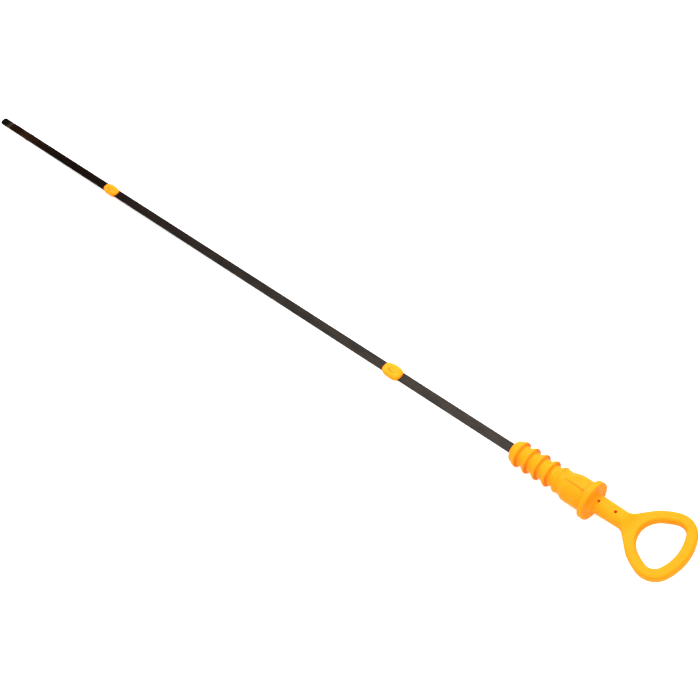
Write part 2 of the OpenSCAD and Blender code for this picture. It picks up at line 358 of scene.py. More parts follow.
def angles_round():
    """Angles of the mesh lines: even ones, and close ones near top and underside for holes and groove."""
    quarter = np.concatenate([np.linspace(0, EVEN_TO, EVEN_LINES), 90 - TOP_STEPS])
    half = np.concatenate([quarter, [90], 180 - quarter[:0:-1]])
    return np.radians(np.concatenate([half, half + 180]))


ANGLES = angles_round()
AROUND = len(ANGLES)
print("mesh lines round the axis:", AROUND)

# %% The groove and its pit
GROOVE_START, GROOVE_END = np.array([-13.9, -0.85]), np.array([-2.25, -1.3])
GROOVE_HALF, GROOVE_WALL, GROOVE_DEPTH = 0.62, 0.34, 0.36
PIT_R, PIT_WALL, PIT_DEPTH = 0.8, 0.3, 0.5
RUN_OUT_X, RUN_OUT_L = -14.5, 1.5


def groove_distances(p):
    """Distances, seen from above, to the groove's middle line and to the middle of its pit.

    The nearest point of the line is its start plus a share of its length, from 0 to 1: the
    product of the point's place and the line's direction, over the line's length squared.
    """
    go, to = GROOVE_END - GROOVE_START, p[..., :2] - GROOVE_START
    share = np.clip(to @ go / (go @ go), 0, 1)
    return np.linalg.norm(to - share[..., None] * go, axis=-1), np.linalg.norm(to - go, axis=-1)


def press_groove(p):
    """Presses the barrel's upper side down along the groove's line, and deeper at its pit.

    The depth fades softly over the wall's width at the sides, and over the run-out's length
    where the groove ends on the shoulder.
    """
    to_line, to_pit = groove_distances(p)
    run_out = ease((p[..., 0] - RUN_OUT_X) / RUN_OUT_L)
    line = GROOVE_DEPTH * run_out * ease((GROOVE_HALF - to_line) / GROOVE_WALL)
    pit = PIT_DEPTH * ease((PIT_R - to_pit) / PIT_WALL)
    upper_side = p[..., 2] > 0
    p[..., 2] -= upper_side * np.maximum(line, pit)
    return p


print("the groove is", round(float(np.linalg.norm(GROOVE_END - GROOVE_START)), 1), "mm long")

# %% The pin holes
HOLE_R, HOLE_FLOOR, HOLE_BEND = 0.85, 0.35, 0.62
LIP_DEPTH, LIP_REACH, WALL_SLACK, IN_SQUARE = 0.07, 0.06, 0.02, 0.9999


def drill(x, angle, radius, p, hole_x, side):
    """Bends the square mesh lines round a hole into circles, and sinks those inside it to the strip.

    With u and v the place in the square, from -1 to 1, a line of the square is where the
    larger of the two is constant. Scaling the point by that larger value over its distance
    turns the line into a circle. Past HOLE_BEND the circles fade back into squares, so that
    the border stays where the other mesh lines meet it.
    """
    middle = radians(90) * side
    u = (x - hole_x) / HOLE_SPAN
    v = ((angle - middle + np.pi) % tau - np.pi) / radians(HOLE_TURN)
    square = np.maximum(np.abs(u), np.abs(v))
    to_circle = square / np.maximum(np.hypot(u, v), 1e-9)
    keep = ease((square - HOLE_BEND) / (1 - HOLE_BEND))
    along = u * (to_circle + (1 - to_circle) * keep) * HOLE_SPAN
    round_turn = to_circle * HOLE_SPAN / np.maximum(radius, 1)
    turn = v * (round_turn * (1 - keep) + radians(HOLE_TURN) * keep)
    away = np.hypot(along, turn * radius)
    z = radius * np.sin(middle + turn) - side * LIP_DEPTH * ease((HOLE_R + LIP_REACH - away) / LIP_DEPTH)
    z = np.where(away < HOLE_R - WALL_SLACK, side * HOLE_FLOOR, z)
    bent = np.stack([hole_x + along, radius * np.cos(middle + turn), z], -1)
    inside = square < IN_SQUARE
    return np.where(inside[..., None], bent, p)


print("pin holes:", 2 * len(PIN_X), "of", 2 * HOLE_R, "mm")

# %% [markdown]
# ## Handle: the turned grid
# The profile's points become rows, one ring of points each. Rows stand close over the pit and
# the pin holes, where the surface changes within a tenth of a millimetre, and wider elsewhere.
# A mesh that is fine everywhere would be easier to write, but many times as heavy.

# %% Rows along the barrel and the neck
BARREL_ROWS, BARREL_START, JOIN_X = 54, COLLAR_X + 0.3, 20.2
BETWEEN_HALF, BETWEEN_ROWS = 3.15, 9
PIT_ROW_STEP, PIT_ROWS_HALF = 0.1, 9.5


def barrel_rows_x():
    """Even rows over the barrel, and close rows over the pit."""
    pit_rows = GROOVE_END[0] + PIT_ROW_STEP * np.arange(-PIT_ROWS_HALF, PIT_ROWS_HALF)
    even_rows = np.linspace(BARREL_START, BARREL_END, BARREL_ROWS)
    return np.unique(np.round(np.concatenate([even_rows, pit_rows]), 3))


def neck_rows_x():
    """Two windows of close rows over the pin holes, rows between them, and three up to the join."""
    steps = HOLE_STEPS / HOLE_TURN * HOLE_SPAN
    window = np.concatenate([-steps[:0:-1], steps])
    between = np.mean(PIN_X) + np.linspace(-BETWEEN_HALF, BETWEEN_HALF, BETWEEN_ROWS)
    return np.concatenate([PIN_X[0] + window, between, PIN_X[1] + window, JOIN_X - np.array([1, 0.5, 0])])


print("rows over the barrel and the neck:", len(barrel_rows_x()), len(neck_rows_x()))


# %% Build the turned grid
def turned_grid():
    """Rows of points round the X axis: x, radius times cosine of the angle, radius times sine."""
    barrel_x, neck_x = barrel_rows_x(), neck_rows_x()
    collar_r = np.full(len(barrel_x), COLLAR_R)
    row_x = np.concatenate([front[:, 0], barrel_x, rear[:-1, 0], neck_x])
    row_r = np.concatenate([front[:, 1], collar_r, rear[:-1, 1], neck_radius(neck_x)])
    x, a = np.meshgrid(row_x, ANGLES, indexing="ij")
    r = np.repeat(row_r[:, None], AROUND, axis=1)
    rows = slice(len(front), len(front) + len(barrel_x))
    r[rows] = barrel_radius(x[rows], a[rows])
    p = press_groove(np.stack([x, r * np.cos(a), r * np.sin(a)], -1))
    for hole_x in PIN_X:
        for side in (1, -1):
            p = drill(x, a, r, p, hole_x, side)
    return p


turned = turned_grid()
print("turned part:", turned.shape, "widest", np.hypot(turned[..., 1], turned[..., 2]).max().round(2), "mm")

# %% [markdown]
# ## Handle: the finger ring
# The ring is a bar with soft edges, carried round a closed line of tangent arcs: a flat far
# side, two tight corners, two long sides and an arc next to the neck. Each arc's centre is
# worked out from its neighbours', so the line has no kink. A curve object with a bevel would
# be quicker, but this line is also needed to blend the ring into the neck.

# %% The ring's centre line
BAR_W, BAR_T, BAR_EDGE = 5.9, 5.8, 1.7
RING_END, RING_NEAR = HANDLE_HIGH[0], 32.0
END_ARC_R, CORNER_ARC_R, SIDE_ARC_R, NEAR_ARC_R, CORNER_Y = 28.6, 8.7, 38.0, 15.3, 8.35


def arc_centres():
    """Centres and radii of the arcs on the +Y side, from the far side to the neck, and where they meet.

    Two tangent arcs have centres that lie as far apart as their radii differ. That gives each
    corner's centre from its Y, and each side's centre from its distances to the two next to it.
    """
    end = np.array([RING_END - BAR_W / 2 - END_ARC_R, 0])
    near = np.array([RING_NEAR - BAR_W / 2 + NEAR_ARC_R, 0])
    corner = np.array([end[0] + np.sqrt((END_ARC_R - CORNER_ARC_R) ** 2 - CORNER_Y ** 2), CORNER_Y])
    gap = np.linalg.norm(corner - near)
    u = (corner - near) / gap
    to_near, to_corner = SIDE_ARC_R - NEAR_ARC_R, SIDE_ARC_R - CORNER_ARC_R
    along = (to_near ** 2 - to_corner ** 2 + gap ** 2) / (2 * gap)
    side = near + along * u + np.sqrt(to_near ** 2 - along ** 2) * np.array([u[1], -u[0]])

    def heading(a, b):
        """The direction from one centre to another, as an angle."""
        return np.arctan2(b[1] - a[1], b[0] - a[0])

    marks = np.array([0, heading(end, corner), heading(side, corner), heading(side, near), np.pi])
    return [(end, END_ARC_R), (corner, CORNER_ARC_R), (side, SIDE_ARC_R), (near, NEAR_ARC_R)], marks


ARCS, MARKS = arc_centres()
print("arcs hand over at", np.degrees(MARKS).round(1), "degrees")


# %% Points along the ring
def ring_line(count):
    """Points and outward directions at even steps round the ring, from the neck over the +Y side.

    A point is its arc's centre plus the arc's radius times (cosine, sine) of its angle. The
    angle is the arc's first one less the length walked on it over its radius. The -Y side is
    the mirrored +Y side.
    """
    centres, radii = np.array([c for c, _ in ARCS])[::-1], np.array([r for _, r in ARCS])[::-1]
    first, last = MARKS[:0:-1], MARKS[-2::-1]
    at = np.concatenate([[0], np.cumsum(radii * (first - last))])
    s = np.arange(count) / count * 2 * at[-1]
    half = np.where(s > at[-1], 2 * at[-1] - s, s)
    k = np.clip(np.searchsorted(at, half, side="right") - 1, 0, len(ARCS) - 1)
    angle = first[k] - (half - at[k]) / radii[k]
    out = np.column_stack([np.cos(angle), np.sin(angle)])
    mirror = np.column_stack([np.ones(count), np.where(s > at[-1], -1.0, 1.0)])
    return (centres[k] + radii[k][:, None] * out) * mirror, out * mirror


print("the ring's centre line is", np.ptp(ring_line(360)[0], axis=0).round(1), "mm long and wide")

# %% [markdown]
# ## Handle: where the neck becomes the ring
# The round neck flattens and spreads into the ring. Seen from above, neck, web and ring are
# one outline with round inner corners. Seen from the side, the half height falls from the
# neck's radius to half the bar's, while the edge goes from fully round to the bar's softer
# edge. Both are functions of the place, so the skin is the set of points where one function
# is zero, and points near it are moved onto it along the function's slope. A subdivision
# surface would also be smooth there, but wouldn't keep the ring's arcs.

# %% The outline seen from above
WEB_X, WEB_FILLET, NECK_STOP = 23.4, 1.6, 28.5
FALL_FROM, FALL_TO, FAR_OFF = 21.0, 28.8, 99.0


def from_centre_line(x, y):
    """Distance from the ring's centre line, positive outside it.

    It is the distance from an arc's centre less the arc's radius, for the arc whose span of
    directions holds the point, or the nearest of two such arcs.
    """
    y = np.abs(y)
    best = np.full(x.shape, FAR_OFF)
    for k, (c, r) in enumerate(ARCS):
        angle = np.arctan2(y - c[1], x - c[0]) % tau
        inside = (angle >= MARKS[k] - 1e-9) & (angle <= MARKS[k + 1] + 1e-9)
        away = np.hypot(x - c[0], y - c[1]) - r
        best = np.where(inside & (np.abs(away) < np.abs(best)), away, best)
    return best


def web_edge():
    """The web's straight edge on the +Y side: its start on the neck, its heading and its end.

    It is tangent to the ring's outer arc. A tangent leaves the line to the arc's centre by the
    angle whose sine is the arc's radius over that line's length.
    """
    centre, r = ARCS[-1][0], NEAR_ARC_R + BAR_W / 2
    start = np.array([WEB_X, neck_radius(WEB_X)])
    reach = np.hypot(*(centre - start))
    heading = np.arctan2(*(centre - start)[::-1]) + np.arcsin(r / reach)
    go = np.array([np.cos(heading), np.sin(heading)])
    return start, go, start + go * np.sqrt(reach ** 2 - r ** 2)


WEB_START, WEB_GO, WEB_STOP = web_edge()
print("the web's edge runs from", WEB_START.round(2), "to", WEB_STOP.round(2))

# %% The skin as a function of place
def skin(p):
    """Zero on the skin of neck, web and ring, negative inside: a rounded upright wall round their outline.

    The web is what lies inside its straight edge, short of that edge's end, and outside the
    ring's centre line. Its distance and the neck's are joined with a fillet: the fillet's
    radius minus the length of what each distance falls short of it. The wall's height and the
    radius of its edge change along X.
    """
    x, y, z = p[..., 0], np.abs(p[..., 1]), p[..., 2]
    beyond = (y - WEB_START[1]) * WEB_GO[0] - (x - WEB_START[0]) * WEB_GO[1]
    past_end = (x - WEB_STOP[0]) * WEB_GO[0] + (y - WEB_STOP[1]) * WEB_GO[1]
    inward = NEAR_ARC_R - np.hypot(x - ARCS[-1][0][0], y)
    web = np.maximum(np.maximum(beyond, past_end), inward)
    ring = np.minimum(np.abs(from_centre_line(x, y)) - BAR_W / 2, web)
    neck = np.maximum(y - neck_radius(x), x - NECK_STOP)
    short = np.hypot(np.maximum(WEB_FILLET - ring, 0), np.maximum(WEB_FILLET - neck, 0))
    outline = np.maximum(WEB_FILLET, np.minimum(ring, neck)) - short
    flat = ease((x - FALL_FROM) / (FALL_TO - FALL_FROM))
    height = neck_radius(x) + (BAR_T / 2 - neck_radius(x)) * flat
    edge = neck_radius(x) + (BAR_EDGE - neck_radius(x)) * flat
    a, b = outline + edge, np.abs(z) - (height - edge)
    return np.minimum(np.maximum(a, b), 0) + np.hypot(np.maximum(a, 0), np.maximum(b, 0)) - edge


def onto_skin(p, rounds=12, h=1e-3, least=0.2):
    """Moves points onto the skin, by the function's value times its slope over the slope's square.

    Where the slope nearly vanishes, its square counts as the least value, so no point is thrown far.
    """
    for _ in range(rounds):
        slope = np.stack([(skin(p + h * e) - skin(p - h * e)) / (2 * h) for e in np.eye(3)], -1)
        p = p - skin(p)[..., None] * slope / np.maximum((slope ** 2).sum(-1, keepdims=True), least)
    return p


print("at the ring's far end the skin is", abs(round(float(skin(np.array([RING_END, 0, 0]))), 3)), "mm away")

# %% [markdown]
# ## Handle: one closed net
# The ring's grid runs round its bar. A patch of it that faces the neck is left out, and the
# patch's border has as many points as the neck's last row. Rows of points between the two
# follow a curve that leaves the neck along its axis, and are then moved onto the skin. A
# boolean union of neck and ring would be shorter, but leaves slivers that shade badly.

# %% The patch that faces the neck
STATIONS, SECTION, PATCH_V = 176, 64, 12
PATCH_U = AROUND // 4 - PATCH_V


def patch_border():
    """Station and section numbers of the patch's border, in order, from level with the neck's first line."""
    u, v = PATCH_U, PATCH_V
    up, over = np.arange(-v, v), np.arange(-u, u)
    left, right = [np.full(2 * v, end) for end in (u, -u)]
    top, bottom = [np.full(2 * u, end) for end in (v, -v)]
    sides = [(left, up), (-over, top), (right, -up), (over, bottom)]
    loop = np.concatenate([np.column_stack(side) for side in sides])
    return np.roll(loop, -v, axis=0) % [STATIONS, SECTION]


border = patch_border()
print("points on the patch's border:", len(border), "and on the neck's last row:", AROUND)

# %% The ring's and the web's points
WEB_ROWS, WEB_PULL = 16, 5.6


def ring_and_web(border):
    """The ring's grid on the skin, and rows of points from the neck's last row to the patch's border.

    A row at t from 0 to 1 lies on the curve (1 - t)^2 rim + 2 t (1 - t) pull + t^2 border.
    """
    line, out = ring_line(STATIONS)
    bar = soft_bar(BAR_W, BAR_T, BAR_EDGE, SECTION)
    flat = line[:, None] + bar[None, :, :1] * out[:, None]
    height = np.tile(bar[None, :, 1:], (STATIONS, 1, 1))
    ring = onto_skin(np.concatenate([flat, height], -1))
    rim, edge = turned[-1], ring[border[:, 0], border[:, 1]]
    t = np.linspace(0, 1, WEB_ROWS + 2)[1:-1, None, None]
    web = (1 - t) ** 2 * rim + 2 * t * (1 - t) * (rim + [WEB_PULL, 0, 0]) + t ** 2 * edge
    return ring, onto_skin(web)


ring, web = ring_and_web(border)
points = np.vstack([turned.reshape(-1, 3), ring.reshape(-1, 3), web.reshape(-1, 3)])
print("ring:", ring.shape, "web:", web.shape, "farthest point:", points[:, 0].max().round(2), "mm")


# %% Join neck and ring
def skin_faces(border):
    """Faces of the turned rows, of the ring without its patch, and of the web's rows, as one net."""
    rows = len(turned)
    i, j = np.meshgrid(np.arange(STATIONS), np.arange(SECTION), indexing="ij")
    in_patch = ((i + PATCH_U) % STATIONS < 2 * PATCH_U) & ((j + PATCH_V) % SECTION < 2 * PATCH_V)
    n, m = (i + 1) % STATIONS, (j + 1) % SECTION
    ring_net = np.stack([i * SECTION + j, i * SECTION + m, n * SECTION + m, n * SECTION + j], -1)
    ring_net = ring_net[~in_patch]
    ring_start = rows * AROUND
    web_start = ring_start + STATIONS * SECTION
    lines = np.vstack([np.arange((rows - 1) * AROUND, rows * AROUND),
                       web_start + np.arange(WEB_ROWS * AROUND).reshape(WEB_ROWS, AROUND),
                       ring_start + border[:, 0] * SECTION + border[:, 1]])
    after = np.roll(lines, -1, axis=1)
    web_net = np.stack([lines[:-1], after[:-1], after[1:], lines[1:]], -1).reshape(-1, 4)
    return np.vstack([grid_faces(rows, AROUND), ring_net + ring_start, web_net])


handle = make_piece("handle_skin", points, skin_faces(border))

# %% [markdown]
# ## Handle: painted shade
# The colour is darkened towards brown where shade falls: in the pin holes, where the dark
# strip also shows at their floor, in the groove and its pit, and behind each rib, most at
# the ribs' sides. It could be painted on by hand, but the amount follows from the same
# distances that made those forms, so it can't miss them.

# %% Painted shade in the holes and in the groove
# Amounts of painted shade: a darker colour in the holes, the groove and the pit, where shade falls.
HOLE_SHADE, GROOVE_SHADE, PIT_SHADE = 0.22, 0.3, 0.34
HOLE_FADE, GROOVE_FADE, PIT_FADE = 0.4, 0.3, 0.25
HOLE_SHADE_REACH, SKIN_SLACK = 0.35, 0.05


def sunk_painted_shade(p):
    """The largest of the painted shade amounts round each hole's middle, near the groove's line and near its
    pit.
    """
    to_line, to_pit = groove_distances(p)
    upper_side, height = p[:, 2] > 0, np.abs(p[:, 2])
    groove = upper_side * GROOVE_SHADE * ease((GROOVE_HALF - to_line) / GROOVE_FADE)
    pit = upper_side * PIT_SHADE * ease((PIT_R - to_pit) / PIT_FADE)
    from_pins = np.hypot(p[:, :1] - np.array(PIN_X), p[:, 1:2]).min(axis=1)
    within, below = HOLE_R + HOLE_SHADE_REACH - from_pins, NECK_R + SKIN_SLACK - height
    holes = HOLE_SHADE * ease(within / HOLE_FADE) * ease(below / HOLE_FADE)
    return np.maximum.reduce([groove, pit, holes])


print("oil in a pin hole and in the pit:", sunk_painted_shade(np.array([[PIN_X[0], 0, 1], [*GROOVE_END, 8]])).round(2))

# %% Painted shade behind the ribs
# Painted shade behind the ribs' crests, where the back flanks face away from the light.
RIB_SHADE, RIB_SIDE_SHADE, LAST_RIB_X, RIB_SLACK = 0.06, 0.5, -22, 0.1
BAND_FROM, BAND_RISE, BAND_TO, BAND_FALL = 0.2, 0.4, 1.8, 0.6
SIDE_FROM, SIDE_RISE = 3.2, 3


def rib_painted_shade(p):
    """A band of painted shade behind each rib's crest, fuller where the skin turns to the side."""
    behind = (p[:, 0] - RIB_X) % RIB_PITCH
    among_ribs = (p[:, 0] > RIB_X) & (p[:, 0] < LAST_RIB_X)
    on_ribs = among_ribs & (np.hypot(p[:, 1], p[:, 2]) < RIB_R + RIB_SLACK)
    amount = RIB_SHADE + RIB_SIDE_SHADE * ease((np.abs(p[:, 1]) - SIDE_FROM) / SIDE_RISE)
    return on_ribs * amount * ease((behind - BAND_FROM) / BAND_RISE) * ease((BAND_TO - behind) / BAND_FALL)


behind_rib = np.array([[RIB_X + 1, 0, 7], [RIB_X + 1, 7, 0]])
print("oil 1 mm behind the first rib, on top and at the side:", rib_painted_shade(behind_rib).round(2))

# %% Mark the painted shade and hand the handle over
places = np.empty(3 * len(handle.data.vertices))
handle.data.vertices.foreach_get("co", places)
places = places.reshape(-1, 3) / MM
# Painted shade: holes, groove, pit and the ribs' backs get a darker colour where shade falls.
store_painted_shade(handle, np.maximum(sunk_painted_shade(places), rib_painted_shade(places)))
close_up(handle, CRISP_PLASTIC)
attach(handle, "root")
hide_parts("handle")

# %% [markdown]
# ## Strip
# The strip is stamped from flat stock: a thin section with edges that the rollers left
# slightly round, carried straight along X. Rows of the section are set close where something
# happens: at the tip, whose two corners have different radii, and at the two pressed marks,
# where the section gets thinner and, at the full mark, a little wider. A cube with a bevel
# couldn't do the marks.

# %% The strip's rows
TIP_X, TANG_X, STRIP_END_EDGE = BLADE_LOW[0], BLADE_HIGH[0], 0.2
LOW_X, FULL_X, MARK_REACH = TIP_X + 11.7, TIP_X + 38.9, 2.6
ROW_STEP, MARK_STEP, TIP_ROWS, TIP_TURN = 3.0, 0.1, 28, (0.1, 1.5)


def strip_rows_x():
    """Places of the rows: one per step, closer at both marks, and at the tip by 1 minus a cosine."""
    tip = TIP_X + ROW_STEP * (1 - np.cos(np.linspace(*TIP_TURN, TIP_ROWS)))
    marks = [mark + np.arange(-MARK_REACH, MARK_REACH + 0.01, MARK_STEP) for mark in (LOW_X, FULL_X)]
    even = np.arange(TIP_X + ROW_STEP, TANG_X, ROW_STEP)
    return np.unique(np.round(np.concatenate([tip, *marks, even, [TANG_X - STRIP_END_EDGE]]), 3))


strip_x = strip_rows_x()
print("rows along the strip:", len(strip_x))

# %% The strip's sections
STRIP_W, STRIP_T, STRIP_EDGE, STRIP_AROUND = 6.0, BLADE_HIGH[2] - BLADE_LOW[2], 0.2, 72
MARK_W, MARK_DEPTH, MARK_WALL = 3.0, 0.2, 0.25
MARK_SWELL, SWELL_WALL = BLADE_HIGH[1] - STRIP_W / 2, 0.4
TIP_R_LEFT, TIP_R_RIGHT, TIP_THIN = 2.4, 2.6, 0.55


def strip_sections(x):
    """One section for each x, scaled to the outline's two edges and to the thickness there.

    A tip corner takes from the half width its radius minus the height of a circle at that
    place. A mark presses a soft step into the thickness, and the tip's edge thins it in a
    quarter circle.
    """
    def press(centre, wall):
        """1 on a mark, 0 away from it, and a soft step over its wall."""
        return ease((MARK_W / 2 + wall - np.abs(x - centre)) / wall)

    def cut(r):
        """How much a tip corner of radius r takes off the half width."""
        return r - np.sqrt(np.maximum(r * r - np.maximum(r - (x - TIP_X), 0) ** 2, 0))

    half_w = STRIP_W / 2 + MARK_SWELL * press(FULL_X, SWELL_WALL)
    left, right = half_w - cut(TIP_R_LEFT), -(half_w - cut(TIP_R_RIGHT))
    half_t = STRIP_T / 2 - MARK_DEPTH * (press(LOW_X, MARK_WALL) + press(FULL_X, MARK_WALL))
    into_edge = np.clip(1 - (x - TIP_X) / STRIP_END_EDGE, 0, 1)
    half_t = half_t * (TIP_THIN + (1 - TIP_THIN) * np.sqrt(1 - into_edge ** 2))
    section = soft_bar(STRIP_W, STRIP_T, STRIP_EDGE, STRIP_AROUND)
    y = (left + right)[:, None] / 2 + (left - right)[:, None] / 2 * section[:, 0] / (STRIP_W / 2)
    z = half_t[:, None] * section[:, 1] / (STRIP_T / 2)
    return np.stack([np.repeat(x[:, None], STRIP_AROUND, axis=1), y, z], -1)


body = strip_sections(strip_x)
print("sections:", body.shape, "the widest:", np.ptp(body[..., 1], axis=1).max().round(2), "mm")

# %% Close its ends and hand it over
def end_rows(section, at):
    """Two rows that close a section's end: its middle, and the section drawn in to three quarters."""
    middle = section.mean(0)
    return [middle * [0, 1, 1] + [at, 0, 0] + (section - middle) * [0, k, k] for k in (0, 0.75)]


strip_grid = np.array(end_rows(body[0], TIP_X) + list(body) + end_rows(body[-1], TANG_X)[::-1])
strip = make_piece("strip", strip_grid.reshape(-1, 3), grid_faces(len(strip_grid), STRIP_AROUND))
close_up(strip, CRISP_STEEL)
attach(strip, "root")
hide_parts("blade")

# %% [markdown]
# ## Guides
# Two small mouldings grip the strip and keep it off the tube's wall. Each is fullest in the
# middle of its length and closes in a blunt curve over the strip, and has a sink on top where
# the plastic drew in as it set. A stretched sphere would lose the flat top and sides, so a
# guide is a section carried along X whose width, height and edge change, and the sink presses
# its top points down. In the photograph the guides are a little shorter than their solids and
# lie a little nearer the handle, so these skins do too.

# %% A guide's form
GUIDE_EDGE, EDGE_SHARE, BLUNT_W, BLUNT_H = 1.8, 0.92, 2.8, 3.2
GUIDE_SECTIONS, GUIDE_AROUND = 121, 96


def guide_grid(length, width, height):
    """Rounded sections along X, with a point at either end.

    With u the place over the half length, half width and half height are their largest value
    times (1 - |u|^n)^(1/n), so both ends close in a blunt curve.
    """
    u = np.sin(np.linspace(-np.pi / 2, np.pi / 2, GUIDE_SECTIONS))[1:-1]
    w, h = [size / 2 * (1 - np.abs(u) ** n) ** (1 / n) for size, n in ((width, BLUNT_W), (height, BLUNT_H))]
    edge = np.minimum(GUIDE_EDGE, np.minimum(w, h) * EDGE_SHARE)
    sections = np.array([soft_bar(2 * a, 2 * b, e, GUIDE_AROUND) for a, b, e in zip(w, h, edge)])
    x = np.broadcast_to((u * length / 2)[:, None, None], (len(u), GUIDE_AROUND, 1))
    pole = np.zeros((1, GUIDE_AROUND, 3)) + [length / 2, 0, 0]
    return np.concatenate([-pole, np.concatenate([x, sections], -1), pole])


upper_low, upper_high = box_mm("upper_guide")
print("a guide's grid:", guide_grid(*(upper_high - upper_low)).shape)

# %% Its sink and the painted shade in it
SINK_X, SINK_L, SINK_W, SINK_DEPTH, SINK_WALL = 0.4, 2.9, 1.5, 0.3, 0.45
SINK_RIM, SINK_LEAN, TOP_Z = 1.1, 0.5, 1
# Painted shade: a dark crescent just inside the sink's rim on its -Y side.
SINK_SHADE, SHADE_AT, SHADE_HALF, SHADE_FADE = 0.75, 0.9, 0.36, 0.3
LOW_SIDE_Y, LOW_SIDE_FADE, TIP_END_X, TIP_END_FADE = 0.2, 0.9, 2.9, 1.6


def press_sink(p):
    """Presses an oval into the top, deeper on its -Y side, and returns how much painted shade each point
    holds.

    Both follow the distance from the oval's middle, measured in its half length and half
    width. The painted shade is a darker crescent just inside the oval's rim, on the -Y side.
    """
    from_middle = np.hypot((p[..., 0] - SINK_X) / SINK_L, p[..., 1] / SINK_W)
    top = p[..., 2] > TOP_Z
    lean = 1 - SINK_LEAN * p[..., 1] / SINK_W
    p[..., 2] -= top * SINK_DEPTH * ease((SINK_RIM - from_middle) / SINK_WALL) * lean
    crescent = ease((SHADE_HALF - np.abs(from_middle - SHADE_AT)) / SHADE_FADE)
    low_side = ease((LOW_SIDE_Y - p[..., 1]) / LOW_SIDE_FADE)
    tip_end = ease((TIP_END_X - p[..., 0]) / TIP_END_FADE)
    return SINK_SHADE * top * crescent * low_side * tip_end


print("oil at a sink's low rim:", press_sink(np.array([[SINK_X, -SINK_W * SHADE_AT, 3.0]])).round(2))

# %% Both guides
for name, node, nearer, shorter in (("upper_guide_skin", "upper_guide", 1.3, 1.2),
                                    ("lower_guide_skin", "lower_guide", 0.6, 0.6)):
    low, high = box_mm(node)
    length, width, height = high - low
    grid = guide_grid(length - shorter, width, height)
    # press_sink also gives each point its painted shade, stored for the finish.
    shade_amount = press_sink(grid)
    middle = [(low[0] + high[0]) / 2 + nearer, 0, 0]
    guide = make_piece(name, grid.reshape(-1, 3) + middle, grid_faces(len(grid), GUIDE_AROUND))
    store_painted_shade(guide, shade_amount.ravel())
    close_up(guide, CRISP_PLASTIC)
    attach(guide, "root")
    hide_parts(node)

# %% [markdown]
# ## Shader groups
# The finishes rest on two patterns: a fine mottling for moulded skin, and a grain drawn out
# along X for rolled steel. Their nodes could stand in each material, but as a group a pattern
# is written once and has a name. Each works from the piece's own coordinates, so it stays on
# the piece when the camera or the piece moves.

# %% Start a group
def new_group(name, inputs, outputs):
    """An empty shader group with named sockets: each is (name, kind, starting value)."""
    group = bpy.data.node_groups.new(name, "ShaderNodeTree")
    for direction, sockets in (("INPUT", inputs), ("OUTPUT", outputs)):
        for label, kind, value in sockets:
            socket = group.interface.new_socket(name=label, in_out=direction, socket_type=kind)
            if value is not None:
                socket.default_value = value
    return group, group.nodes.new("NodeGroupInput"), group.nodes.new("NodeGroupOutput")


def add(tree, kind, inputs=(), **settings):
    """Adds a node, sets its properties, and fills or links its inputs by name or number."""
    node = tree.nodes.new(kind)
    for key, value in settings.items():
        setattr(node, key, value)
    for key, value in dict(inputs).items():
        if isinstance(value, bpy.types.NodeSocket):
            tree.links.new(value, node.inputs[key])
        else:
            node.inputs[key].default_value = value
    return node


def noise(tree, where, scale, detail, roughness):
    """Cloudy noise over a place, from 0 to 1."""
    settings = {"Vector": where, "Scale": scale, "Detail": detail, "Roughness": roughness}
    return add(tree, "ShaderNodeTexNoise", settings).outputs["Fac"]


def stretched(tree, where, x_scale):
    """The same place with its X scaled, which draws a pattern out along X."""
    return add(tree, "ShaderNodeMapping", {"Vector": where, "Scale": (x_scale, 1.0, 1.0)}).outputs["Vector"]


print("shader groups before the first pattern:", len(bpy.data.node_groups))


# %% Two patterns
def moulded_skin():
    """Mottling of a moulded surface: a fine height for the bump, and a broad mask for gloss and colour."""
    inputs = [("Vector", "NodeSocketVector", None), ("Grain per metre", "NodeSocketFloat", 2600.0)]
    outputs = [("Height", "NodeSocketFloat", None), ("Mask", "NodeSocketFloat", None)]
    group, start, end = new_group("moulded skin", inputs, outputs)
    where, grain = start.outputs["Vector"], start.outputs["Grain per metre"]
    group.links.new(noise(group, where, grain, 3.0, 0.6), end.inputs["Height"])
    group.links.new(noise(group, where, 95.0, 4.0, 0.55), end.inputs["Mask"])
    return group


def rolled_grain():
    """Lines along X from noise that is squeezed across the strip, and broad blotches of the oxide."""
    outputs = [("Lines", "NodeSocketFloat", None), ("Blotches", "NodeSocketFloat", None)]
    group, start, end = new_group("rolled grain", [("Vector", "NodeSocketVector", None)], outputs)
    where = start.outputs["Vector"]
    group.links.new(noise(group, stretched(group, where, 0.035), 3400.0, 4.0, 0.65), end.inputs["Lines"])
    group.links.new(noise(group, stretched(group, where, 0.3), 240.0, 5.0, 0.6), end.inputs["Blotches"])
    return group


SKIN, GRAIN = moulded_skin(), rolled_grain()
print("groups:", [g.name for g in bpy.data.node_groups])

# %% [markdown]
# ## Helpers for finishes
# Every finish starts from the same shader and the piece's own coordinates. The helpers keep
# each material down to the lines that say what it looks like.

# %% Start a finish
def finish(name):
    """A new node material with its tree, its shader and the piece's own coordinates."""
    material = bpy.data.materials.new(name)
    material.use_nodes = True
    tree = material.node_tree
    return material, tree, tree.nodes["Principled BSDF"], add(tree, "ShaderNodeTexCoord").outputs["Object"]


def use_group(tree, group, where):
    """A shared group, fed with the piece's coordinates."""
    return add(tree, "ShaderNodeGroup", {"Vector": where}, node_tree=group)


print("groups ready for the finishes:", [g.name for g in (SKIN, GRAIN)])

# %% Spread and blend values
MIX_SHARE, MIX_FIRST, MIX_SECOND, MIX_COLOUR = 0, 6, 7, 2


